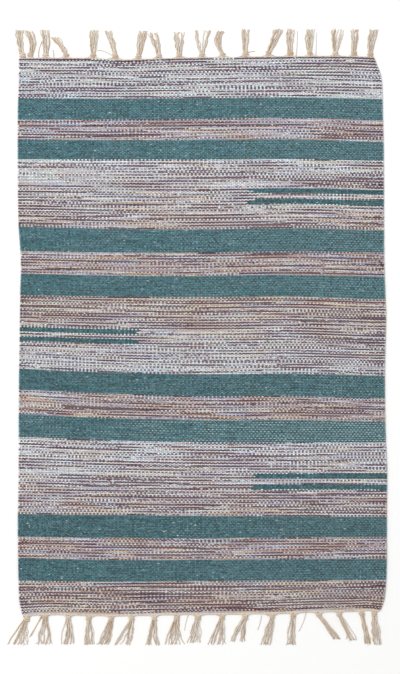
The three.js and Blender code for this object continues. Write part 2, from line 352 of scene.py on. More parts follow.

# %% [markdown]
# ## The bands
#
# The weaver changed shuttles seventeen times: solid teal bands stand between bands of marled yarn. Each
# band is a row of the table: its name, how many picks of weft it holds, and for a marled band the
# character of its yarn at its top and at its bottom. `dark` is the share of its turn that shows the dark
# strand, `warm` runs from icy white to cream, and `earth` from lilac and plum to tan and bark. A teal
# band has a `tone`, below 0 for a darker band, and the teal bands lower down the rug are mostly darker.
# Its weft covers the pale warp less well in some places, and `dots` says how strongly the warp shines
# through there. The weft was not beaten quite level, so a second table says where each change of band
# lies at five places across the rug.

# %% Tables of the bands, from the top of the rug to the bottom
BANDS = [
    {"name": "marled_1", "picks": 56, "dark": (0.31, 0.28), "warm": (0.20, 0.10), "earth": (0.18, 0.20)},
    {"name": "teal_1", "picks": 26, "tone": -0.05, "dots": 0.34},
    {"name": "marled_2", "picks": 28, "dark": (0.32, 0.32), "warm": (0.35, 0.45), "earth": (0.80, 0.90)},
    {"name": "teal_2", "picks": 24, "tone": -0.05, "dots": 0.34},
    {"name": "marled_3", "picks": 94, "dark": (0.26, 0.39), "warm": (0.20, 0.60), "earth": (0.16, 0.54)},
    {"name": "teal_3", "picks": 30, "tone": -0.10, "dots": 0.42},
    {"name": "marled_4", "picks": 34, "dark": (0.35, 0.35), "warm": (0.45, 0.55), "earth": (0.85, 0.95)},
    {"name": "teal_4", "picks": 28, "tone": -0.10, "dots": 0.38},
    {"name": "marled_5", "picks": 110, "dark": (0.47, 0.31), "warm": (0.85, 0.10), "earth": (0.62, 0.18)},
    {"name": "teal_5", "picks": 26, "tone": -0.24, "dots": 0.30},
    {"name": "marled_6", "picks": 36, "dark": (0.32, 0.32), "warm": (0.45, 0.62), "earth": (0.85, 0.90)},
    {"name": "teal_6", "picks": 30, "tone": -0.12, "dots": 0.90},
    {"name": "marled_7", "picks": 102, "dark": (0.33, 0.39), "warm": (0.17, 0.55), "earth": (0.14, 0.66)},
    {"name": "teal_7", "picks": 28, "tone": -0.28, "dots": 0.28},
    {"name": "marled_8", "picks": 30, "dark": (0.35, 0.35), "warm": (0.45, 0.50), "earth": (0.90, 0.90)},
    {"name": "teal_8", "picks": 28, "tone": -0.20, "dots": 0.28},
    {"name": "marled_9", "picks": 46, "dark": (0.48, 0.45), "warm": (0.65, 0.75), "earth": (0.65, 0.70)},
]
CHANGES = {
    "across": [-289, -150, 4, 154, 284],
    "rows": [
        [390.5, 389.7, 390.8, 391.7, 389.2],
        [355.7, 355.4, 356.8, 358.3, 354.5],
        [322.9, 321.8, 322.2, 323.0, 318.9],
        [290.3, 290.2, 289.9, 290.8, 287.9],
        [179.5, 176.0, 175.0, 176.9, 173.7],
        [139.5, 137.2, 136.9, 139.2, 136.9],
        [101.9, 98.8, 98.3, 100.0, 97.2],
        [66.8, 64.5, 63.5, 64.4, 59.8],
        [-54.7, -60.4, -63.2, -62.3, -65.3],
        [-88.6, -95.3, -99.3, -99.0, -103.0],
        [-128.8, -135.2, -138.4, -138.6, -140.3],
        [-166.4, -171.6, -175.1, -175.3, -175.1],
        [-293.1, -294.6, -296.1, -296.8, -297.7],
        [-330.3, -332.2, -333.3, -331.5, -331.0],
        [-365.5, -368.8, -368.4, -367.2, -366.7],
        [-402.8, -404.4, -403.3, -402.5, -401.7],
    ],
}


def change_line(number, x):
    """Where a change of band lies at places across the rug. Line 0 is the top end."""
    if number == 0:
        return read_table(ENDS, "across", "top", x)
    if number == len(BANDS):
        return read_table(ENDS, "across", "bottom", x)
    table = {"across": CHANGES["across"], "line": CHANGES["rows"][number - 1]}
    return read_table(table, "across", "line", x)


first_picks = np.cumsum([0] + [band["picks"] for band in BANDS])
pick_count = int(first_picks[-1])
print(len(BANDS), "bands and", pick_count, "picks")

# %% [markdown]
# ## Warp and picks
#
# The warp ends lie a little closer near the selvedges than in the middle, because the weft pulls
# the cloth in. Every pick has a line across the rug. It follows the two changes of band that it
# lies between, and wanders a little by itself. A warp end's place depends on how wide the cloth
# is at a pick, and the pick's height on the place across, so the two are settled in turn, a few
# rounds long. All that varies by chance is drawn from one seeded generator, so the rug comes out
# the same each time.

# %% Where the warp ends and the picks lie
WARPS = 198
WARP_GAP = CLOTH_WIDTH / WARPS
WARP_CROWDING = 0.055
WAVES = 4
WAVE_PEAK = 2.2
SETTLING_ROUNDS = 3

spread = (np.arange(WARPS) + 0.5) / WARPS
WARP_SHARE = spread - WARP_CROWDING / (2 * np.pi) * np.sin(2 * np.pi * spread)
chance = np.random.default_rng(11)


def slow_waves(x, count, longest, shortest):
    """Smooth wandering lines, one for each of a number of picks, from -1 to 1 or so."""
    total = np.zeros((count, len(x)))
    for _ in range(WAVES):
        length = chance.uniform(shortest, longest, (count, 1))
        start = chance.uniform(0, 2 * np.pi, (count, 1))
        total += np.sin(2 * np.pi * x / length + start)
    return total / WAVE_PEAK


def band_grid(number):
    """For a band, the place of each pick at each warp end, and the spacing of its picks."""
    picks = BANDS[number]["picks"]
    share = (np.arange(picks)[:, None] + 0.5) / picks
    x = np.broadcast_to(CLOTH_WIDTH * (WARP_SHARE - 0.5), (picks, WARPS))
    for _ in range(SETTLING_ROUNDS):
        upper = change_line(number, x)
        lower = change_line(number + 1, x)
        y = upper + (lower - upper) * share
        left = left_at(y)
        x = left + (right_at(y) - left) * WARP_SHARE
    return x, y, (upper - lower) / picks


print(WARPS, "warp ends,", pick_count * WARPS // 2, "places where the weft shows")

# %% [markdown]
# ## Bars of teal inside the marled bands
#
# In three marled bands a pair of short teal bars runs in from one selvedge and stops. The weaver
# turned the teal weft back inside the cloth, a warp end or two further on each pick, so a bar
# ends in a short taper. Each bar is a row: its band, the first of its picks counted from the top
# of the band, how many picks it holds, its side, where its tip lies across the rug, the pick that
# leads to the tip, and how far each other pick falls back from it. Every second pick falls back
# a little more, which keeps the taper ragged.

# %% Table of the bars
BARS = [
    {"band": 4, "first": 40, "picks": 6, "side": 1, "tip": 75.5, "leads": 1.2, "taper": 4.5},
    {"band": 4, "first": 54, "picks": 7, "side": 1, "tip": 73, "leads": 4.8, "taper": 3.6},
    {"band": 8, "first": 47, "picks": 7, "side": -1, "tip": -101, "leads": 1.5, "taper": 2.2},
    {"band": 8, "first": 61, "picks": 7, "side": -1, "tip": -100, "leads": 6, "taper": 2.1},
    {"band": 12, "first": 43, "picks": 7, "side": 1, "tip": 80, "leads": 1.8, "taper": 3.3},
    {"band": 12, "first": 58, "picks": 7, "side": 1, "tip": 77, "leads": 5.5, "taper": 3.2},
]
RAGGED = 0.4


def in_bar(number, x):
    """Which places of a band's grid are teal weft of a bar."""
    inside = np.zeros(x.shape, bool)
    for bar in BARS:
        if bar["band"] != number:
            continue
        for k in range(bar["picks"]):
            back = bar["taper"] * (abs(k - bar["leads"]) + RAGGED * (k % 2))
            start = bar["tip"] + bar["side"] * back
            row = bar["first"] + k
            inside[row] |= bar["side"] * (x[row] - start) > 0
    return inside


print(len(BARS), "bars")

# %% [markdown]
# ## The colour of a marled weft
#
# A marled yarn is plied from strands of different colours. As the yarn turns about itself, now
# a light strand lies on top and now a dark one, and it turns so slowly that one strand can stay
# on top for the width of a hand. That is where the streaks and dotted rows of these bands come
# from. So each pick carries one number that drifts along it: how far the yarn has turned.
#
# Two shuttles take turns, one with its dark strand mostly up and one with its light strand up.
# Each throws its yarn from right to left and back, so the drift is worked out along the yarn and
# then folded into picks. The two picks of a pair agree at the left selvedge, where the yarn
# turns back, and less and less further in. Both yarns were plied on one machine, so they share a
# slow drift as well. That keeps one light where the other is dark, and the cloth even.
#
# Neighbouring picks also lie a little ahead and a little back in their turn. Where a yarn is near
# its change from dark to light, one pick shows dark and the next light, as a row of dots. Last,
# the turn is stretched so that the band's own share of dark falls below `DARK_SHARE`, which is
# where the material shows the dark strand.

# %% How far the yarn has turned, pick by pick
DARK_SHARE = 0.34
SHUTTLE_STARTS = (0.5 * DARK_SHARE, 0.5 * DARK_SHARE + 0.5)
DRIFTS = [{"reach": 60, "size": 0.05}, {"reach": 800, "size": 0.08}]
SHARED_DRIFT = 0.24
SHARED_PICKS = 15
SHARED_WAVES = (1200, 260)
GRAIN_DRIFT = 0.03
STAGGER = 0.08


def drift_along(count, reach, size):
    """A number that wanders about zero along a yarn, with one value for each warp end."""
    keep = math.exp(-WARP_GAP / reach)
    pushes = chance.normal(0, size * math.sqrt(1 - keep * keep), count)
    value = chance.normal(0, size)
    values = []
    for push in pushes:
        value = keep * value + push
        values.append(value)
    return np.array(values)


def shared_drift(x, picks):
    """A drift that changes slowly along the picks and from pick to pick."""
    rows = slow_waves(x, picks + SHARED_PICKS - 1, *SHARED_WAVES)
    weights = np.hanning(SHARED_PICKS + 2)[1:-1]
    weights /= np.sqrt((weights**2).sum())
    smoothed = sum(w * rows[k : k + picks] for k, w in enumerate(weights))
    return SHARED_DRIFT * smoothed / smoothed.std()


def yarn_turns(number, x):
    """The turn of the yarn at each place of a band's grid. From 0 to DARK_SHARE is dark."""
    picks = BANDS[number]["picks"]
    turns = np.empty((picks, WARPS))
    for shuttle, start in enumerate(SHUTTLE_STARTS):
        rows = [pick for pick in range(picks) if pick // 2 % 2 == shuttle]
        yarn = np.full(len(rows) * WARPS, start)
        for drift in DRIFTS:
            yarn += drift_along(len(yarn), **drift)
        for throw, pick in enumerate(rows):
            thrown = yarn[throw * WARPS : (throw + 1) * WARPS]
            turns[pick] = thrown[::-1] if throw % 2 == 0 else thrown
    turns = turns + shared_drift(x, picks)
    pick = np.arange(picks)[:, None]
    turns = turns + STAGGER * np.where((pick // 4 + pick) % 2, 1, -1)
    turns = (turns + chance.normal(0, GRAIN_DRIFT, turns.shape)) % 1
    first_dark, last_dark = BANDS[number].get("dark", (DARK_SHARE, DARK_SHARE))
    dark = first_dark + (last_dark - first_dark) * pick / picks
    as_dark = turns / dark * DARK_SHARE
    as_light = DARK_SHARE + (turns - dark) / (1 - dark) * (1 - DARK_SHARE)
    return np.where(turns < dark, as_dark, as_light)


print("dark share of the marled yarn:", DARK_SHARE)

# %% [markdown]
# ## One grain of weft
#
# Where the weft crosses over a warp end it shows as a small lozenge, a grain, and then it dives
# between two warp ends. The next pick crosses over the ends that this one went under, so the
# grains lie like bricks in a wall. About seventy-five thousand of them are needed. Each is a
# closed shape of six corners, made as arrays of numbers: two tips, two edges and a ridge of two
# points. A hand-placed mesh could not be repeated that often, and a bump map would leave the
# bands flat.
#
# Each corner also carries what the material needs: where it is on its grain, a number drawn by
# chance, the turn of the yarn, and how warm and how earthy it is.

# %% Helpers for arrays
def threes(*columns):
    """Three arrays made into rows of three numbers."""
    return np.stack(np.broadcast_arrays(*columns), axis=-1).reshape(-1, 3)


def repeated(faces, corners, count):
    """The faces of one shape, for a number of copies with so many corners each."""
    return (faces[None] + corners * np.arange(count)[:, None, None]).reshape(-1, 3)


def joined(parts):
    """Several sets of corners, faces and carried numbers made into one."""
    points, faces, carried = zip(*parts)
    starts = np.cumsum([0, *map(len, points)])
    faces = [part + start for part, start in zip(faces, starts)]
    carried = {label: np.concatenate([part[label] for part in carried]) for label in carried[0]}
    return np.concatenate(points), np.concatenate(faces), carried


print("two copies of a face:", repeated(np.array([(0, 1, 2)]), 3, 2).tolist())


# %% Meshes from arrays
def carry(mesh, label, values):
    """Store three numbers at each corner of a mesh under a name."""
    layer = mesh.attributes.new(label, "FLOAT_VECTOR", "POINT")
    layer.data.foreach_set("vector", values.astype(np.float32).ravel())


def read_back(items, field, width, kind=np.float32):
    """Numbers read back from a mesh, in rows of a width."""
    values = np.empty(len(items) * width, kind)
    items.foreach_get(field, values)
    return values.reshape(-1, width)


def mesh_piece(name, points, faces, carried):
    """A mesh object from arrays in millimetres, with the numbers that its corners carry."""
    mesh = bpy.data.meshes.new(name)
    mesh.vertices.add(len(points))
    mesh.vertices.foreach_set("co", ((points + SHIFT) * MM).astype(np.float32).ravel())
    mesh.loops.add(faces.size)
    mesh.loops.foreach_set("vertex_index", faces.astype(np.int32).ravel())
    mesh.polygons.add(len(faces))
    mesh.polygons.foreach_set("loop_start", np.arange(0, faces.size, 3, dtype=np.int32))
    mesh.update(calc_edges=True)
    mesh.validate()
    mesh.polygons.foreach_set("use_smooth", np.ones(len(mesh.polygons), bool))
    for label, values in carried.items():
        carry(mesh, label, values)
    made = bpy.data.objects.new(name, mesh)
    bpy.context.scene.collection.objects.link(made)
    return made


def lay_flat_map(piece):
    """A map seen from above that fills its square, for the baked colours of a woven piece."""
    mesh = piece.data
    places = read_back(mesh.vertices, "co", 3)[:, :2]
    low = places.min(0)
    shares = (places - low) / (places.max(0) - low)
    corner = read_back(mesh.loops, "vertex_index", 1, np.int32)[:, 0]
    layer = mesh.uv_layers.new(name="OFBake")
    layer.data.foreach_set("uv", shares[corner].astype(np.float32).ravel())


print("helpers for meshes are ready")

# %% Build the grains of a set of places
GRAIN_FILL = 1.04
RIDGE = 0.42
SUNK_TIP = 1.15
SUNK_EDGE = 0.95
CROWN = 0.18
SIZE_JITTER = 0.045
PLACE_JITTER = 0.05
CROWN_JITTER = 0.07
TURN_ALONG = 0.05
GRAIN_CORNERS = np.array([(-1, 0), (1, 0), (0, -1), (0, 1), (-RIDGE, 0), (RIDGE, 0)], float)
GRAIN_LIFT = np.array([-SUNK_TIP, -SUNK_TIP, -SUNK_EDGE, -SUNK_EDGE, CROWN, CROWN])
GRAIN_FACES = np.array(
    [(0, 2, 4), (0, 4, 3), (1, 5, 2), (1, 3, 5), (2, 5, 4), (3, 4, 5), (0, 3, 2), (1, 2, 3)]
)


def grains(x, y, reach, half, rise, turn, warm, earth, draw):
    """Corners, faces and carried numbers of grains at the given places."""
    count = len(x)
    along, across = GRAIN_CORNERS.T
    jitter = 1 + chance.normal(0, SIZE_JITTER, (count, 2))
    px = x[:, None] + along * (reach * jitter[:, 0])[:, None]
    py = y[:, None] + across * (half * jitter[:, 1])[:, None]
    py = py + chance.normal(0, PLACE_JITTER, (count, 1))
    height = cloth_height(px, py) + GRAIN_LIFT + rise[:, None]
    height += (GRAIN_LIFT > 0) * chance.normal(0, CROWN_JITTER, (count, 1))
    turn, warm, earth, draw = (values[:, None] for values in (turn, warm, earth, draw))
    spot = threes(along, across, draw)
    yarn = threes(turn + TURN_ALONG * along, warm, earth)
    faces = repeated(GRAIN_FACES, len(GRAIN_CORNERS), count)
    return threes(px, py, height), faces, {"spot": spot, "yarn": yarn}


print("a grain has", len(GRAIN_FACES), "faces")

# %% [markdown]
# ## Selvedge turns
#
# At each side the weft turns round the last warp end and comes back, so the selvedge is a row of
# small beads, one for every two picks. A bead is a short tube that runs over the edge: it starts
# on top of the cloth, bulges out at the side and ends underneath. The same helper, which closes
# rows of rings into tubes, also makes the yarns of the fringe later on.

# %% Tubes from rows of rings, and the selvedge turns
BEAD = {
    "out": [-2.6, -0.9, -0.1, -0.9, -2.6],
    "height": [3.6, 3.45, 1.9, 0.5, 0.6],
    "width": [0.0, 0.85, 1.0, 0.85, 0.0],
    "thick": [0.0, 0.5, 0.6, 0.45, 0.0],
    "lean": [90, 70, 0, -70, -90],
}
BEAD_SIDES = 6
BEAD_CURVE = 0.8


def close_tubes(rings, start_tips, end_tips):
    """Points and faces of closed tubes. Rings are tube by ring by corner by coordinate."""
    tubes, rows, corners = rings.shape[:3]
    rings = rings.reshape(tubes, rows * corners, 3)
    points = np.concatenate([rings, start_tips[:, None], end_tips[:, None]], axis=1)
    faces = []
    for corner in range(corners):
        after = (corner + 1) % corners
        for row in range(rows - 1):
            a, b = row * corners + corner, row * corners + after
            faces += [(a, b, b + corners), (a, b + corners, a + corners)]
        last = (rows - 1) * corners
        faces += [(rows * corners, after, corner)]
        faces += [(rows * corners + 1, last + corner, last + after)]
    faces = np.array(faces)
    first, second, third = (points[0, faces[:, k]] - points[0].mean(0) for k in range(3))
    if (first * np.cross(second, third)).sum() < 0:
        faces = faces[:, ::-1]
    return points.reshape(-1, 3), repeated(faces, points.shape[1], tubes)


def selvedge_turns(side, x, y, half, turn, warm, earth, draw):
    """Beads at one side: side is -1 for the left and 1 for the right."""
    out, height, width, thick, lean = (np.array(row, float)[:, None] for row in BEAD.values())
    around = 2 * np.pi * np.arange(BEAD_SIDES) / BEAD_SIDES
    push = thick * np.cos(around)
    lean = np.radians(lean)
    px = x[:, None, None] + side * (out + push * np.cos(lean))
    py = y[:, None, None] + half[:, None, None] * width * np.sin(around)
    rings = np.stack(np.broadcast_arrays(px, py, height + push * np.sin(lean)), axis=-1)
    points, faces = close_tubes(rings[:, 1:-1], rings[:, 0, 0], rings[:, -1, 0])
    sides = [*BEAD_CURVE * np.sin(around)] * 3 + [0, 0]
    spot = threes(0, sides, draw[:, None])
    yarn = np.repeat(threes(turn, warm, earth), len(sides), axis=0)
    return points, faces, {"spot": spot, "yarn": yarn}


print("a selvedge turn has", 2 * BEAD_SIDES * 3, "faces")

# %% [markdown]
# ## Weft materials
#
# Both kinds of weft are matt cotton. The marled one picks its strand by the turn that the mesh
# carries, plus a little for how far round the yarn a spot lies. Its light strand runs from icy
# white to cream and buff, the middle one from lilac to rose and tan, and the dark one from plum to
# bark. The teal yarn has plies in near shades, with rare flecks of pale grey, green, bright
# blue-green, deep blue and straw where waste fibre was carded in. Every grain also leans a little
# to mint, pink or blue.

# %% Colours of the weft
ICE = from_screen(240, 251, 251)
CREAM = from_screen(236, 233, 216)
BLUE_WHITE = from_screen(206, 215, 236)
BUFF = from_screen(232, 215, 188)
LILAC = from_screen(174, 166, 188)
TAN = from_screen(198, 156, 132)
ROSE = from_screen(198, 176, 172)
PLUM = from_screen(114, 74, 103)
BARK = from_screen(107, 65, 78)
TEAL_DEEP = from_screen(72, 118, 127)
TEAL_MIDDLE = from_screen(86, 124, 134)
TEAL_BRIGHT = from_screen(97, 144, 152)
MINT_TINT = (0.88, 1.04, 0.98, 1)
PINK_TINT = (1.12, 0.90, 0.97, 1)
BLUE_TINT = (0.95, 0.95, 1.12, 1)
TINTS = [(0, MINT_TINT), (0.3, 1), (0.45, PINK_TINT), (0.65, 1), (0.8, BLUE_TINT), (1, MINT_TINT)]
TEAL_PLIES = [(0, TEAL_DEEP), (0.25, from_screen(78, 132, 139)), (0.5, TEAL_MIDDLE)]
TEAL_PLIES += [(0.75, TEAL_BRIGHT), (1, TEAL_DEEP)]
TEAL_SHADES = [(0, 0.5), (0.14, 0.75), (0.5, 0.955), (0.86, 1.16), (1, 1.5)]
FLECKS = [(0, from_screen(150, 178, 182)), (0.4, from_screen(186, 202, 202))]
FLECKS += [(0.55, from_screen(60, 160, 172)), (0.7, from_screen(86, 150, 130))]
FLECKS += [(0.82, from_screen(50, 106, 156)), (0.93, from_screen(150, 150, 128))]
print(len(TINTS), "stops of tint and", len(FLECKS), "colours of fleck")

# %% Materials of the weft
WEFT_SHINE = {"Roughness": 0.92, "Sheen_Weight": 0.12, "Sheen_Roughness": 0.5}
FIBRE = {"scale": 900, "detail": 3, "stretch": (1, 2.5, 1)}
PLIES = {"scale": 430, "detail": 1, "stretch": (1, 1.8, 1)}
WEFT_RELIEF = {"depth": 0.00025, "strength": 0.35}
TINT_STEP = 17.3
MARLED_TINT = 0.45
TEAL_TINT = 0.6


def tinted(finish, colour, draw, share):
    """A colour that leans to one of the tints, a different one on each grain."""
    return finish.times(colour, finish.ramp((draw * TINT_STEP).whole_part_off(), TINTS), share)


def fibrous(finish, colour, spot, light, fibre):
    """A colour times a grain's painted shade and its tone, with the slanting ridges of its fibres."""
    along, side, draw = spot
    ridges = (along * 5 + side * 4 + draw * 9).sine()
    colour = finish.times(colour, finish.grey(light))
    return finish.finish(colour, ridges * 0.5 + fibre, **WEFT_RELIEF)


def marled_weft():
    finish = Finish("marled_weft", **WEFT_SHINE)
    along, side, draw = spot = finish.carried("spot")
    turn, warm, earth = finish.carried("yarn")
    ply = (turn + side * 0.05).whole_part_off()
    edge = DARK_SHARE
    light_stops = [(0, 0.5), (0.04, 0), (edge - 0.03, 0), (edge + 0.06, 0.6), (edge + 0.16, 1)]
    is_light = finish.ramp(ply, [*light_stops, (0.95, 1), (1, 0.5)])
    dark_stops = [(0, 0.5), (0.04, 1), (edge - 0.04, 1), (edge + 0.05, 0), (0.96, 0), (1, 0.5)]
    is_dark = finish.ramp(ply, dark_stops)
    mixed_stops = [(edge + 0.08, 0), (edge + 0.12, 1), (edge + 0.38, 1), (edge + 0.44, 0)]
    is_mixed = finish.ramp(ply, [(0, 0), *mixed_stops]) * (0.30 + earth * 0.62)
    pale = finish.mix(earth * 0.8, finish.mix(warm, ICE, CREAM), finish.mix(warm, BLUE_WHITE, BUFF))
    middle = finish.mix(warm, LILAC, finish.mix(earth, ROSE, TAN))
    colour = finish.mix(is_light * (1 - is_mixed), middle, pale)
    colour = finish.mix(is_dark, colour, finish.mix(earth, PLUM, BARK))
    colour = tinted(finish, colour, draw, MARLED_TINT)
    fibre = finish.noise(finish.place(), **FIBRE)
    # painted shade: each grain is lighter in its middle and darker towards its tips, times the random
    # tone of its fibres and its draw
    light = (1.05 - along * along * 0.16) * (0.79 + fibre * 0.2 + draw * 0.26)
    return fibrous(finish, colour, spot, light, fibre)


def teal_weft():
    finish = Finish("teal_weft", **WEFT_SHINE)
    along, side, draw = spot = finish.carried("spot")
    turn, fleck, strength = finish.carried("yarn")
    colour = finish.ramp((turn * 2 + side * 0.1).whole_part_off(), TEAL_PLIES)
    colour = finish.times(colour, finish.ramp(draw, TEAL_SHADES))
    colour = tinted(finish, colour, draw, TEAL_TINT)
    colour = finish.mix(strength, colour, finish.ramp(fleck, FLECKS))
    fibre = finish.noise(finish.place(), **FIBRE)
    plies = finish.noise(finish.place(), **PLIES)
    # painted shade: each grain is lighter in its middle and darker towards its tips, times the random
    # tone of its fibres and plies
    light = (1.12 - along * along * 0.42) * (0.22 + fibre * 0.32 + plies * 1.28)
    return fibrous(finish, colour, spot, light, fibre)


MARLED = marled_weft()
TEAL = teal_weft()
print("weft materials:", MARLED.name, TEAL.name)

# %% [markdown]
# ## The yarn along the picks
#
# Two more numbers go with the turn of the yarn. In a marled band they say how warm and how earthy
# the yarn is. They run from the band's value at its top to that at its bottom, and wander on the
# way. In teal weft they say which colour a fleck has and how strongly it shows. The pale warp
# that shines through between the picks is one of those flecks. It lies on every third pick, and
# shows more towards the right.

# %% The two numbers that go with the turn
CHARACTER_WANDER = {
    "warm": {"size": 0.55, "waves": (320, 80)},
    "earth": {"size": 0.26, "waves": (400, 100)},
}
FLECK_CHANCE = 0.016
FLECK_STRENGTH = (0.4, 1.0)
DOT_PICKS = 3
DOT_COLOUR = 0.3
DOT_MIDDLE = 0.55
DOT_SLOPE = 0.9
DOT_WANDER = 0.35
DOT_WAVES = (260, 60)


def marled_character(band, x):
    """How warm and how earthy a marled yarn is at each place of its band."""
    picks = len(x)
    down = (np.arange(picks)[:, None] + 0.5) / picks
    made = []
    for column, wandering in CHARACTER_WANDER.items():
        first, last = band[column]
        wander = wandering["size"] * slow_waves(x.mean(0), picks, *wandering["waves"])
        made.append(np.clip(first * (1 - down) + last * down + wander, 0, 1))
    return made


def teal_character(band, x):
    """Which colour a fleck has and how strongly it shows, at each place of teal weft."""
    is_fleck = chance.uniform(0, 1, x.shape) < FLECK_CHANCE
    colour = chance.uniform(0, 1, x.shape)
    strength = is_fleck * chance.uniform(*FLECK_STRENGTH, x.shape)
    wander = slow_waves(x.mean(0), len(x), *DOT_WAVES)
    dotted = (np.arange(len(x)) % DOT_PICKS == 0)[:, None]
    rise = np.clip(DOT_MIDDLE + DOT_SLOPE * x / CLOTH_WIDTH + DOT_WANDER * wander, 0, 1)
    paleness = band.get("dots", 0) * dotted * rise
    return np.where(paleness > strength, DOT_COLOUR, colour), np.maximum(strength, paleness)


print("one grain of teal in", round(1 / FLECK_CHANCE), "is a fleck")

# %% [markdown]
# Where a marled band meets its neighbour, the photograph shows the light strand on top for most of the
# way, with a few gaps. The two ends of the rug also have a dark line, so the turn of the yarn is given in
# those picks.

# %% The turn at the edges of a marled band
LIGHT_TURN = 0.72
DARK_TURN = 0.17
EDGE_LIMIT = -0.4
EDGE_WAVES = (300, 90)


def settle_edges(number, line, turn):
    """Most of a marled band's outermost weft is light up.

    The rug's first two picks are dark up, and at its foot a dark pick lies inside two light ones.
    """
    edges = {0: LIGHT_TURN, -1: LIGHT_TURN}
    if number == 0:
        edges.update({0: DARK_TURN, 1: DARK_TURN})
    if number == len(BANDS) - 1:
        edges.update({-2: LIGHT_TURN, -3: DARK_TURN})
    for pick, wanted in edges.items():
        settled = slow_waves(line, 1, *EDGE_WAVES)[0] > EDGE_LIMIT
        turn[pick] = np.where(settled, wanted, turn[pick])
    return turn


print("turns at the edges:", LIGHT_TURN, "for light and", DARK_TURN, "for dark")

# %% [markdown]
# ## Weaving the bands
#
# Now the loop that a loom is: for every band, every second place of the grid gets a grain, the
# odd ones on odd picks and the even ones on even picks. The dark strand of a marled yarn is
# thinner and lies a little lower than the light one, so its grains are too. A marled band's teal
# bars become a piece of their own, so that each piece has one yarn.

# %% One piece of weft
STRAND_WIDTHS = (0.70, 1.12)
STRAND_RISES = (-0.16, 0.04)


def weave_piece(name, is_teal, places, columns, chosen, at_side):
    """One piece of weft: its grains, and the turns at the two selvedges."""
    x, y, spacing = places
    turn = columns[0]
    whole = GRAIN_FILL * spacing
    widths, rises = ((1, 1), (0, 0)) if is_teal else (STRAND_WIDTHS, STRAND_RISES)
    is_dark = turn < DARK_SHARE
    half, rise = whole * np.where(is_dark, *widths), np.where(is_dark, *rises)
    sizes = (x, y, np.gradient(x, axis=1), half, rise)
    parts = [grains(*(values[chosen] for values in (*sizes, *columns)))]
    for side, column in ((-1, 0), (1, -1)):
        rows = np.arange(0, len(x) - 1, 2)
        rows = rows[at_side[rows, column]]
        if len(rows):
            middle = 0.5 * (y[rows, column] + y[rows + 1, column])
            edge = left_at(middle) if side < 0 else right_at(middle)
            values = [numbers[rows, column] for numbers in (whole, *columns)]
            parts.append(selvedge_turns(side, edge, middle, *values))
    piece = mesh_piece(name, *joined(parts))
    piece.data.materials.append(TEAL if is_teal else MARLED)
    lay_flat_map(piece)
    return piece


print("dark and light grains are", STRAND_WIDTHS, "of a pick wide")

# %% Weave the bands
PICK_WANDER = 0.16
PICK_WAVES = (130, 40)
PAIR_PULL = 0.24
SHED_DIFFERENCE = 0.14
SHED_WAVES = (200, 60)
BAR_TONE = -0.22


def weave_band(number):
    """The pieces of one band: its weft, and its bars where it has any."""
    band = BANDS[number]
    is_marled = "warm" in band
    x, y, spacing = band_grid(number)
    line = x.mean(0)
    pick, warp = np.arange(band["picks"])[:, None], np.arange(WARPS)
    y = y + PICK_WANDER * slow_waves(line, band["picks"], *PICK_WAVES)
    if is_marled:
        y = y + PAIR_PULL * spacing * np.where(pick % 2, 1, -1)
    shows = (first_picks[number] + pick + warp) % 2 == 0
    teal_here = in_bar(number, x) if is_marled else np.ones(x.shape, bool)
    turn = yarn_turns(number, line)
    draw = chance.uniform(0, 1, x.shape)
    sheds = SHED_DIFFERENCE * slow_waves(line, 1, *SHED_WAVES) * np.where(warp % 2, 1, -1)
    tone = band.get("tone", 0) + BAR_TONE * (teal_here & is_marled)
    draw = np.clip(draw + sheds + tone, 0, 1)
    if is_marled:
        turn = settle_edges(number, line, turn)
    made = []
    for is_teal, character in ((False, marled_character), (True, teal_character)):
        here = teal_here == is_teal
        if (shows & here).any():
            start = "bars_in" if is_teal and is_marled else "weft"
            columns = [turn, *character(band, x), draw]
            places = (x, y, spacing)
            name = f"{start}_{band['name']}"
            made.append(weave_piece(name, is_teal, places, columns, shows & here, here))
    return made


woven_pieces = [piece for number in range(len(BANDS)) for piece in weave_band(number)]
print(len(woven_pieces), "woven pieces,", sum(len(p.data.polygons) for p in woven_pieces), "faces")

# %% [markdown]
# ## The ground under the grains
#
# The grains are only the upper half of the cloth. Under them lies the ground: the warp, and the
# weft where it runs beneath. It is one closed sheet with the rug's outline, so the cloth has its
# real thickness at the edges and a proper underside. It starts as a grid. Each point of the grid
# is moved to its place on the cloth, and in edit mode the sheet is extruded down to the floor.

# %% Model the ground sheet
GROUND_COLUMNS = 44
GROUND_ROWS = 132
GROUND_DEPTH = 0.95
GROUND_SIDE_INSET = 1.3
GROUND_END_INSET = 0.6
RIM = 0.001


@contextmanager
def editing():
    """All of the active mesh in edit mode, and back in object mode afterwards."""
    bpy.ops.object.mode_set(mode="EDIT")
    bpy.ops.mesh.select_all(action="SELECT")
    yield
    bpy.ops.object.mode_set(mode="OBJECT")


bpy.ops.object.select_all(action="DESELECT")
bpy.ops.mesh.primitive_grid_add(
    x_subdivisions=GROUND_COLUMNS, y_subdivisions=GROUND_ROWS, size=1, location=(0, 0, 0)
)
ground = bpy.context.object
ground.name = "ground_cloth"
across, along, _ = read_back(ground.data.vertices, "co", 3).astype(float).T + 0.5
near_y = CLOTH_LENGTH * along - CLOTH_END
left, right = left_at(near_y) + GROUND_SIDE_INSET, right_at(near_y) - GROUND_SIDE_INSET
x = left + (right - left) * across
bottom = read_table(ENDS, "across", "bottom", x) + GROUND_END_INSET
top = read_table(ENDS, "across", "top", x) - GROUND_END_INSET
y = bottom + (top - bottom) * along
on_rim = np.minimum(across * (1 - across), along * (1 - along)) < RIM
z = np.where(on_rim, EDGE_THICKNESS, cloth_height(x, y)) - GROUND_DEPTH
ground.data.vertices.foreach_set("co", ((threes(x, y, z) + SHIFT) * MM).ravel())
with editing():
    bpy.ops.mesh.extrude_region_move()
    bpy.ops.transform.resize(value=(1, 1, 0), center_override=(0, 0, 0))
    bpy.ops.mesh.select_all(action="SELECT")
    bpy.ops.mesh.normals_make_consistent(inside=False)
print("ground:", len(ground.data.polygons), "faces, size", tuple(ground.dimensions))
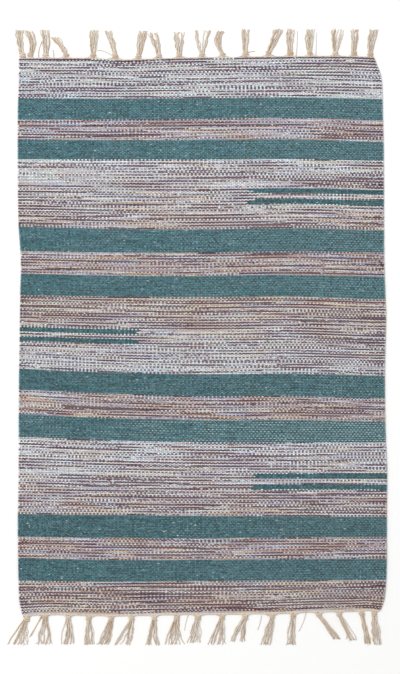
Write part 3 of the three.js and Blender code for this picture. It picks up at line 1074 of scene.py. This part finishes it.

# %% [markdown]
# The ground shows as dark gaps between the grains, and whole on the underside. A kilim looks the same
# from both sides, so the underside is woven too, this time in the material. Each corner of the sheet
# carries how many warp ends lie to its left, how many picks lie above it, and whether it is on the upper
# face, which is painted half as bright, as shade under the grains. Two waves of the first two numbers,
# multiplied, give the bricks of the weave, and the bands and bars follow from them. The troughs between
# the bricks are painted darker, as shade.

# %% Carry the weave on the ground sheet
def weave_place(x, y):
    """How many warp ends lie to the left of a place of the cloth, and how many picks above it."""
    warps = WARPS * (x - left_at(y)) / (right_at(y) - left_at(y))
    picks = np.zeros(x.shape)
    for number, band in enumerate(BANDS):
        upper, lower = change_line(number, x), change_line(number + 1, x)
        picks += band["picks"] * np.clip((upper - y) / (upper - lower), 0, 1)
    return warps, picks


x, y, z = (read_back(ground.data.vertices, "co", 3) / MM - SHIFT).T
# the third number marks the upper face, which the material paints darker as shade under the grains
weave = threes(*weave_place(x, y), z > 0.5 * GROUND_DEPTH)
carry(ground.data, "weave", weave)
print("picks counted down the ground sheet:", weave[:, 1].max().round(1))

# %% Material of the ground
STREAK_PLACE = {"along": 0.035, "down": 3.7}
GROUND_RELIEF = {"depth": 0.0006, "strength": 0.7}
MARL_STREAKS = [(0.41, PLUM), (0.45, ROSE), (0.5, ICE), (0.56, LILAC), (0.62, CREAM)]
TEAL_STREAKS = [(0.3, TEAL_DEEP), (0.5, TEAL_MIDDLE), (0.7, TEAL_BRIGHT)]


def ground_cloth():
    finish = Finish("ground_cloth", Roughness=0.95)
    warps, picks, on_top = finish.carried("weave")
    stops = [(first_picks[k] / pick_count, int("warm" not in band)) for k, band in enumerate(BANDS)]
    is_teal = finish.ramp(picks * (1 / pick_count), stops, stepped=True)
    for bar in BARS:
        first = float(first_picks[bar["band"]] + bar["first"])
        tip = WARPS * (bar["tip"] / CLOTH_WIDTH + 0.5)
        beside = warps > tip if bar["side"] > 0 else warps < tip
        is_teal = is_teal + (picks > first) * (picks < first + bar["picks"]) * beside
    relief = ((warps + 0.5) * math.pi).sine() * ((picks + 0.5) * math.pi).sine() * 0.5 + 0.5
    places = {0: warps * STREAK_PLACE["along"]}
    places[1] = (picks - picks.whole_part_off()) * STREAK_PLACE["down"]
    streak = finish.noise(finish.node("ShaderNodeCombineXYZ", None, places), 1)
    marl, teal = finish.ramp(streak, MARL_STREAKS), finish.ramp(streak, TEAL_STREAKS)
    # painted shade: darker in the troughs between the woven bricks, and half as bright on the upper face,
    # which shows only in the gaps between the grains
    shade = finish.grey((0.3 + relief * 0.7) * (1 - on_top * 0.5))
    colour = finish.times(finish.mix(is_teal, marl, teal), shade)
    return finish.finish(colour, relief, **GROUND_RELIEF)


ground.data.materials.append(ground_cloth())
print("ground material:", ground.data.materials[0].name)

# %% [markdown]
# ## The fringe
#
# The warp ends that stick out at the top and bottom are tied, about eleven at a time, into
# tassels. Close to the cloth a row or two of twining, a pair of yarns that twist about each other
# round the warp ends, keeps the weft from sliding off. The warp ends then run slantwise to their
# knot, which leaves small scallops along the edge, and past the knot they hang loose.
#
# The tassels are rows of two tables, the same as in the solids: where a tassel is rooted, where
# its tip lies, how far it reaches, how wide it fans, how much it bows and how far it forks.

# %% Tables of the tassels, in millimetres
TOP_TASSELS = {
    "root": [-295, -282, -257, -223, -178.5, -142, -104, -70.5, -37],
    "tip": [-300, -285.5, -260, -242, -177, -154.5, -96, -79.5, -38],
    "reach": [41, 40, 41, 29, 41, 42, 41.5, 37.5, 37],
    "fan": [10, 11, 10, 11, 14.5, 11, 13, 12, 15],
    "bow": [-1, 5, 2, 2.5, 0, 1, 0.5, 0.5, 0],
    "fork": [0, 0, 0, 0, 0, 0, 0, 3.5, 0],
}
TOP_TASSELS["root"] += [0.5, 34.5, 72, 109.5, 145.5, 178, 219.5, 250.5, 277.5]
TOP_TASSELS["tip"] += [1, 30.5, 72, 126, 147, 177.5, 222.5, 253, 283]
TOP_TASSELS["reach"] += [40, 38, 40, 39.5, 39.5, 39, 38.5, 39, 40]
TOP_TASSELS["fan"] += [12.5, 11, 11.5, 13.5, 10.5, 12, 14, 11.5, 11]
TOP_TASSELS["bow"] += [-1, -5.5, 0, -0.5, -1, -0.5, -0.5, 0, -1.5]
TOP_TASSELS["fork"] += [13, 0, 0, 0, 0, 0, 2.5, 0, 0]

BOTTOM_TASSELS = {
    "root": [-288, -257.5, -219.5, -186, -149, -115, -78, -41, -6.5],
    "tip": [-301, -260, -220, -186, -161, -130.5, -79.5, -46.5, -12],
    "reach": [42, 43.5, 43, 42.5, 42.5, 43, 44, 44, 41],
    "fan": [22, 20, 12.5, 14, 14, 15, 18.5, 24, 18],
    "bow": [-1.5, 1, 1.5, 0, 1, 1, 0.5, 0, -0.5],
    "fork": [4, 0, 4, 0, 0, 9, 4, 2, 0],
}
BOTTOM_TASSELS["root"] += [33.5, 71.5, 116, 150.5, 192.5, 226, 263.5, 284]
BOTTOM_TASSELS["tip"] += [24.5, 60, 105.5, 148, 221, 247.5, 273.5, 290]
BOTTOM_TASSELS["reach"] += [44.5, 40, 46, 47, 40, 42, 49, 50]
BOTTOM_TASSELS["fan"] += [20, 14, 12, 10.5, 12, 11, 10, 13]
BOTTOM_TASSELS["bow"] += [0, -1, 0, 0, 0.5, 0, 0, -0.5]
BOTTOM_TASSELS["fork"] += [3, 7, 0, 0, 0, 0, 0, 0]

# Single yarns that escaped the knots. `from` and `to` are places across the rug, and `out` and
# `far` say how far from the cloth's edge each of them starts and ends.
TOP_STRAYS = {
    "from": [-243, 155, 187.5, -139, 62, -268],
    "to": [-244.5, 157.5, 188.5, -171, 88, -259],
    "out": [1, 1, 1, 1, 1, 3],
    "far": [15, 43, 41, 15, 11, 34],
    "bow": [0.5, 1, 0.5, 4, 2, -3],
}
BOTTOM_STRAYS = {
    "from": [-262, -264, -21, 172, 98],
    "to": [-283, -280, -28, 160, 92],
    "out": [5, 5, 1, 1, 6],
    "far": [39, 37, 30, 34, 30],
    "bow": [0, 0.5, -1, 2, 1.5],
}
print(len(TOP_TASSELS["root"]), "tassels at the top,", len(BOTTOM_TASSELS["root"]), "at the bottom")

# %% [markdown]
# ## One knot, modelled
#
# The knot is a lump of yarns with three turns round it. A sphere is pressed into the lump in
# edit mode, and three rings are laid round it, each tipped a little the other way. They are
# joined, and the finished knot is read back as arrays, because it is needed thirty-five times.
# Each corner of the knot also carries where it lies round its strand, for the ply of the yarn.

# %% Model the knot
KNOT_HALF = (4.3, 3.7, 2.3)
KNOT_CENTRE_HEIGHT = 2.35
WRAPS = {"place": [-2.1, 0.1, 2.2], "slant": [16, -13, 20], "size": [0.92, 1.0, 0.9]}
WRAP_THICKNESS = 0.85
WRAP_FLATNESS = 0.62
STRAND_RADIUS = 4.5
ORIGIN = (0, 0, 0)


def carry_round(piece, middle, half):
    """Store, at each corner, where it lies round its strand and how far along the strand."""
    places = read_back(piece.data.vertices, "co", 3) / MM
    lean = np.clip((places[:, 1] - middle) / half, -1, 1)
    along = STRAND_RADIUS * np.arctan2(places[:, 0], places[:, 2])
    carry(piece.data, "spot", threes(lean, np.sqrt(1 - lean**2), along))


bpy.ops.object.select_all(action="DESELECT")
bpy.ops.mesh.primitive_uv_sphere_add(segments=14, ring_count=9, radius=MM, location=ORIGIN)
lump = bpy.context.object
with editing():
    bpy.ops.transform.rotate(value=math.pi / 2, orient_axis="X", center_override=ORIGIN)
    bpy.ops.transform.resize(value=KNOT_HALF, center_override=ORIGIN)
carry_round(lump, 0, KNOT_HALF[1])
parts = [lump]
for place, slant, size in zip(*WRAPS.values()):
    bpy.ops.object.select_all(action="DESELECT")
    bpy.ops.mesh.primitive_torus_add(
        major_segments=18,
        minor_segments=6,
        major_radius=size * KNOT_HALF[0] * MM,
        minor_radius=WRAP_THICKNESS * MM,
        location=ORIGIN,
    )
    wrap = bpy.context.object
    with editing():
        bpy.ops.transform.resize(value=(1, WRAP_FLATNESS, 1), center_override=ORIGIN)
        bpy.ops.transform.rotate(value=math.pi / 2, orient_axis="X", center_override=ORIGIN)
        slant = math.radians(slant)
        bpy.ops.transform.rotate(value=slant, orient_axis="Z", center_override=ORIGIN)
        bpy.ops.transform.translate(value=(0, place * MM, 0))
    carry_round(wrap, place, WRAP_THICKNESS)
    parts.append(wrap)
bpy.ops.object.select_all(action="DESELECT")
for part in parts:
    part.select_set(True)
bpy.context.view_layer.objects.active = lump
bpy.ops.object.join()
with editing():
    bpy.ops.mesh.quads_convert_to_tris()
    bpy.ops.mesh.normals_make_consistent(inside=False)

KNOT_POINTS = read_back(lump.data.vertices, "co", 3).astype(float) / MM
KNOT_FACES = read_back(lump.data.loops, "vertex_index", 1, np.int32).reshape(-1, 3)
KNOT_SPOT = read_back(lump.data.attributes["spot"].data, "vector", 3)
bpy.data.objects.remove(lump)
print("a knot has", len(KNOT_FACES), "faces, size", np.ptp(KNOT_POINTS, axis=0).round(1), "mm")

# %% [markdown]
# ## Yarns as tubes
#
# Every yarn of the fringe is a thin closed tube along a path of points. A ring of five corners
# stands square to the path at each point. The corners carry where they are round the yarn and
# how far along it, so that the material can wind its plies round the tube.

# %% Yarns along paths
YARN_SIDES = 5
BLUNT_START = 0.6
BLUNT_END = 0.4
LOWEST = 0.04
PLY_SHIFT = 10


def yarns(paths, radii, draws):
    """Tubes along paths. Paths are yarn by station by coordinate, radii yarn by station."""
    count = len(paths)
    ahead = np.gradient(paths, axis=1)
    ahead /= np.linalg.norm(ahead, axis=-1, keepdims=True)
    beside = np.cross(ahead, [0.0, 0.0, 1.0])
    beside /= np.linalg.norm(beside, axis=-1, keepdims=True) + 1e-9
    above = np.cross(beside, ahead)
    turn = 2 * np.pi * np.arange(YARN_SIDES) / YARN_SIDES - np.pi / 2
    reach_beside = np.cos(turn)[:, None] * radii[:, :, None, None]
    reach_above = np.sin(turn)[:, None] * radii[:, :, None, None]
    rings = paths[:, :, None] + reach_beside * beside[:, :, None] + reach_above * above[:, :, None]
    start_tips = paths[:, 0] - ahead[:, 0] * radii[:, :1] * BLUNT_START
    end_tips = paths[:, -1] + ahead[:, -1] * radii[:, -1:] * BLUNT_END
    points, faces = close_tubes(rings, start_tips, end_tips)
    points[:, 2] = np.maximum(points[:, 2], LOWEST)
    steps = np.linalg.norm(np.diff(paths, axis=1), axis=-1)
    run = np.concatenate([np.zeros((count, 1)), np.cumsum(steps, axis=1)], axis=1)
    run += chance.uniform(0, PLY_SHIFT, (count, 1))
    spot = threes(np.cos(turn), np.sin(turn), run[:, :, None]).reshape(count, -1, 3)
    tip_spot = threes(0, 1, run[:, [0, -1]]).reshape(count, -1, 3)
    spot = np.concatenate([spot, tip_spot], axis=1).reshape(-1, 3)
    tone = np.repeat(draws, len(points) // count)
    return points, faces, {"spot": spot, "yarn": threes(tone, 0, 0)}


print("each station of a yarn adds", 2 * YARN_SIDES, "faces")

# %% Copies of the knot
KNOT_SIZE_JITTER = 0.06
KNOT_TURN_JITTER = 0.18
# painted shade: the knots take the darker straw tones, so that their upturned tops read no brighter than
# the loose yarns
KNOT_TONES = (0.05, 0.4)


def knots(x, y):
    """Copies of the knot, each a little larger or smaller and turned its own way."""
    count, each = len(x), len(KNOT_POINTS)
    points = KNOT_POINTS * (1 + chance.normal(0, KNOT_SIZE_JITTER, (count, 1, 3)))
    turn = chance.normal(0, KNOT_TURN_JITTER, (count, 1))
    turned_x = points[..., 0] * np.cos(turn) - points[..., 1] * np.sin(turn)
    turned_y = points[..., 0] * np.sin(turn) + points[..., 1] * np.cos(turn)
    height = np.maximum(points[..., 2] + KNOT_CENTRE_HEIGHT, LOWEST)
    points = threes(turned_x + x[:, None], turned_y + y[:, None], height)
    tone = np.repeat(chance.uniform(*KNOT_TONES, count), each)
    carried = {"spot": np.tile(KNOT_SPOT, (count, 1)), "yarn": threes(tone, 0, 0)}
    return points, repeated(KNOT_FACES, each, count), carried


print("a copied knot has", len(KNOT_POINTS), "corners")

# %% [markdown]
# ## Tying the fringes
#
# Each fringe is made in the order in which it is tied: the twining, the warp ends that run to
# the knots, the knots, the tassels with frayed ends, and the strays. The yarns of a tassel lie in
# two layers at the knot and sink to the floor at the tip.

# %% Twining, and the warp ends on their way to the knots
STRIP_GAP = 0.3
KNOT_STANDS_OUT = 2.2
ENDS_OF_RUG = [
    {"name": "top", "out": 1, "strip": 4.0, "rows": [1.1]},
    {"name": "bottom", "out": -1, "strip": 6.0, "rows": [1.0, 2.7]},
]
TABLES = {"top": (TOP_TASSELS, TOP_STRAYS), "bottom": (BOTTOM_TASSELS, BOTTOM_STRAYS)}
TWINE = {"pitch": 6.2, "radius": 0.72, "swing": 0.35, "lift": 0.55, "height": 2.3, "wander": 0.25}
TWINE_WAVES = (120, 50)
TWINE_STATIONS = 300
TWINE_TONES = np.array([0.5, 0.7])
WARP_STATIONS = 7
WARP_RADIUS = 0.62
WARP_START = -1.5
WARP_SAG = (0.75, 1.35)
WARP_HEIGHT = {"start": 1.7, "rise": 0.9, "spread": (-0.5, 0.7)}
WARP_TONES = (0.3, 1)
AIM_JITTER = 1.2


def beyond(end, x, out):
    """The place that lies so far out from an end of the cloth."""
    return read_table(ENDS, "across", end["name"], x) + end["out"] * out


def twining(end, row):
    """Two yarns that twist about each other along the edge of the cloth."""
    edge_y = CLOTH_END * end["out"]
    x = np.linspace(left_at(edge_y) + 1, right_at(edge_y) - 1, TWINE_STATIONS)
    wander = TWINE["wander"] * slow_waves(x, 1, *TWINE_WAVES)[0]
    paths = []
    for start in (0, np.pi):
        turn = 2 * np.pi * x / TWINE["pitch"] + start
        y = beyond(end, x, row + wander + TWINE["swing"] * np.cos(turn))
        paths.append(threes(x, y, TWINE["height"] + TWINE["lift"] * np.sin(turn)))
    return yarns(np.array(paths), np.full((2, len(x)), TWINE["radius"]), TWINE_TONES)


def gathered_warps(end, knot_x, knot_out):
    """The warp ends on their way from the cloth to the knots."""
    edge_y = CLOTH_END * end["out"]
    left, right = left_at(edge_y), right_at(edge_y)
    start_x = left + (right - left) * WARP_SHARE
    home = np.abs(start_x[:, None] - knot_x[None]).argmin(1)
    aim_x = knot_x[home] + chance.normal(0, AIM_JITTER, WARPS)
    u = np.linspace(0, 1, WARP_STATIONS)
    x = start_x[:, None] + (aim_x - start_x)[:, None] * u * u * (3 - 2 * u)
    sag = chance.uniform(*WARP_SAG, (WARPS, 1))
    y = beyond(end, x, WARP_START + (knot_out + 1) * u**sag)
    height = WARP_HEIGHT["start"] + WARP_HEIGHT["rise"] * np.sin(np.pi * u * 0.6)
    height = height + chance.uniform(*WARP_HEIGHT["spread"], (WARPS, 1)) * u
    paths = np.stack([x, y, height], axis=-1)
    return yarns(paths, np.full(x.shape, WARP_RADIUS), chance.uniform(*WARP_TONES, WARPS))


print(WARPS, "warp ends run to the knots at each end of the rug")

# %% Paths of the tassel yarns
YARN_RADIUS = 0.78
TASSEL_YARNS = 11
TASSEL_STATIONS = 14
ROOT_WIDTH = 5.6
YARN_JITTER = {"seat": 0.08, "bulge": 0.28, "lean": 0.2, "length": 0.022}
WIGGLE = {"length": (0.28, 0.7), "size": (0.3, 1.1)}
LAYERS = {"knot": (1.1, 1.9), "tip": (0.8, 0.9), "bulge": 0.35}


def tassel_paths(end, knot_y):
    """The paths of the loose yarns past the knots."""
    tassels = TABLES[end["name"]][0]
    columns = (np.array(tassels[name], float)[:, None, None] for name in tassels)
    root, tip, reach, fan, bow, fork = columns
    shape = (len(root), TASSEL_YARNS, 1)
    t = np.linspace(0, 1, TASSEL_STATIONS)
    seat = np.linspace(-1, 1, TASSEL_YARNS)[:, None] + chance.normal(0, YARN_JITTER["seat"], shape)
    wander = chance.normal(0, YARN_JITTER["bulge"], shape) * np.sin(np.pi * t)
    wander = wander + chance.normal(0, YARN_JITTER["lean"], shape) * t
    wiggle_length = chance.uniform(*WIGGLE["length"], shape)
    wiggle = np.sin(2 * np.pi * (t / wiggle_length + chance.uniform(0, 1, shape)))
    wiggle = wiggle * chance.uniform(*WIGGLE["size"], shape) * np.minimum(1, t * 3)
    width = ROOT_WIDTH + (fan + 1 - ROOT_WIDTH) * t
    x = root + (tip - root) * t + bow * 4 * t * (1 - t) + 0.5 * width * (seat + wander)
    x = x + np.sign(seat) * 0.5 * fork * t + wiggle
    length = reach * (1 - np.abs(chance.normal(0, YARN_JITTER["length"], shape)))
    y = knot_y[:, None, None] + end["out"] * (length * t + 0.3 * wiggle)
    layer = np.arange(TASSEL_YARNS)[:, None] % 2
    (low_knot, knot_step), (low_tip, tip_step) = LAYERS["knot"], LAYERS["tip"]
    at_tip = low_tip + tip_step * layer * chance.uniform(0, 1, shape)
    height = (low_knot + knot_step * layer) * (1 - t) ** 0.7 + at_tip * t
    height = height + LAYERS["bulge"] * np.sin(np.pi * t) + 0.15 * wiggle
    return threes(x, y, np.maximum(height, YARN_RADIUS)).reshape(-1, TASSEL_STATIONS, 3)


print(TASSEL_YARNS, "yarns in a tassel")

# %% Tassels with frayed ends
YARN_THICKNESS = (0.85, 1.12)
YARN_TAPER = (0.95, 0.92)
LAST_TAPER = 0.7
FRAYS = 2
FRAY_RADII = 0.3 * np.array([1, 1, 0.85, 0.45])
FRAY_LENGTHS = (1.6, 4.2)
FRAY_BACK = 1.8
FRAY_SWING = 0.5
FRAY_BEND = 0.7
FRAY_DROP = 0.4


def frayed_ends(paths):
    """Finer fibres that part from the last stretch of each yarn."""
    tips = np.repeat(paths[:, -2:], FRAYS, axis=0)
    heading = tips[:, 1:] - tips[:, :1]
    heading /= np.linalg.norm(heading, axis=-1, keepdims=True)
    beside = np.stack([-heading[..., 1], heading[..., 0], np.zeros((len(tips), 1))], axis=-1)
    swing = chance.normal(0, FRAY_SWING, (len(tips), 1, 1))
    u = np.linspace(0, 1, len(FRAY_RADII))[:, None]
    length = chance.uniform(*FRAY_LENGTHS, (len(tips), 1, 1))
    start = tips[:, 1:] - heading * FRAY_BACK + beside * swing * 0.5
    frays = start + heading * length * u + beside * swing * length * FRAY_BEND * u * u
    frays[..., 2] = np.maximum(frays[..., 2] - FRAY_DROP * u[:, 0], FRAY_RADII[0])
    radii = np.broadcast_to(FRAY_RADII, frays.shape[:2])
    return yarns(frays, radii, chance.uniform(0, 1, len(frays)))


def tassel_yarns(end, knot_y):
    """The loose yarns of the tassels, and the finer fibres at their ends."""
    paths = tassel_paths(end, knot_y)
    thick = YARN_RADIUS * chance.uniform(*YARN_THICKNESS, (len(paths), 1))
    radii = thick * np.linspace(*YARN_TAPER, TASSEL_STATIONS)
    radii[:, -1] *= LAST_TAPER
    return [yarns(paths, radii, chance.uniform(0, 1, len(paths))), frayed_ends(paths)]


print(FRAYS, "frayed fibres at the end of each yarn")

# %% Stray yarns
STRAY_RADIUS = 0.6
STRAY_HEIGHT = 0.75
STRAY_LIFT = 1.4


def stray_yarns(end):
    """Single yarns that escaped the knots. The long way of each decides how its bow lies."""
    strays = TABLES[end["name"]][1]
    start, stop, near, far, bow = (np.array(row, float)[:, None] for row in strays.values())
    t = np.linspace(0, 1, TASSEL_STATIONS)
    x = start + (stop - start) * t
    out = near + (far - near) * t
    bow = bow * 4 * t * (1 - t)
    sweeps = np.abs(stop - start) > far - near
    y = beyond(end, x, out + np.where(sweeps, bow, 0))
    x = x + np.where(sweeps, 0, bow)
    height = STRAY_HEIGHT + STRAY_LIFT * (1 - t) ** 3
    paths = threes(x, y, height).reshape(*x.shape, 3)
    return yarns(paths, np.full(x.shape, STRAY_RADIUS), chance.uniform(0, 1, len(paths)))


print(len(TOP_STRAYS["from"]) + len(BOTTOM_STRAYS["from"]), "stray yarns")

# %% Tie the two fringes
def tie_fringe(end):
    """One fringe, from the twining to the strays."""
    knot_x = np.array(TABLES[end["name"]][0]["root"], float)
    knot_out = STRIP_GAP + end["strip"] + KNOT_STANDS_OUT
    knot_y = beyond(end, knot_x, knot_out)
    parts = [twining(end, row) for row in end["rows"]]
    parts += [gathered_warps(end, knot_x, knot_out), knots(knot_x, knot_y)]
    parts += [*tassel_yarns(end, knot_y), stray_yarns(end)]
    piece = mesh_piece(f"{end['name']}_fringe_yarns", *joined(parts))
    lay_flat_map(piece)
    return piece


fringes = [tie_fringe(end) for end in ENDS_OF_RUG]
print([(piece.name, len(piece.data.polygons)) for piece in fringes])

# %% [markdown]
# The warp is unbleached cotton, the colour of pale straw. Two plies wind round each yarn with a darker
# line between them, painted shade in the crease. Each yarn has a tone of its own, soft patches run over
# them all, and the upper side of each yarn is painted a little lighter.

# %% Material of the warp yarn
STRAW_LIGHT = from_screen(228, 219, 208)
STRAW = from_screen(214, 198, 180)
STRAW_DARK = from_screen(198, 171, 137)
PLY_LENGTH = 7.0
YARN_RELIEF = {"depth": 0.0003, "strength": 0.5}


def warp_yarn():
    finish = Finish("warp_yarn", Roughness=0.9, Sheen_Weight=0.15, Sheen_Roughness=0.5)
    lean, lift, run = finish.carried("spot")
    draw, _, _ = finish.carried("yarn")
    angle = finish.node("ShaderNodeMath", {"operation": "ARCTAN2"}, {0: lift, 1: lean})
    ply = (angle * (1 / math.pi) + run * (1 / PLY_LENGTH)).whole_part_off()
    groove = finish.ramp(ply, [(0, 0), (0.16, 0.75), (0.5, 1), (0.84, 0.75), (1, 0)])
    tone = finish.ramp(draw, [(0, STRAW_DARK), (0.35, STRAW), (0.75, STRAW_LIGHT), (1, STRAW)])
    fibre = finish.noise(finish.place(), 700, 3)
    patch = finish.noise(finish.place(), 90)
    # painted shade and light: darker in the crease between the plies (groove) and lighter on the upper
    # side of a yarn (lift), with the yarn's own fibre and patches
    shade = 0.72 + groove * 0.2 + fibre * 0.12 + patch * 0.12 + lift * 0.05
    colour = finish.times(tone, finish.grey(shade))
    return finish.finish(colour, groove * 0.8 + fibre * 0.4, **YARN_RELIEF)


YARN = warp_yarn()
for piece in fringes:
    piece.data.materials.append(YARN)
print("warp material:", YARN.name)

# %% [markdown]
# ## Which piece stands for which solid
#
# Every piece rides on the rug's one body. The ground sheet takes the place of the plain cloth solid, with
# the grains that lie on it.

# %% Hand the pieces to the frame
for piece in [ground, *woven_pieces]:
    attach(piece, "root")
for piece in fringes:
    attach(piece, "root")
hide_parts("woven_panel")
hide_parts("fringe_top")
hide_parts("fringe_bottom")
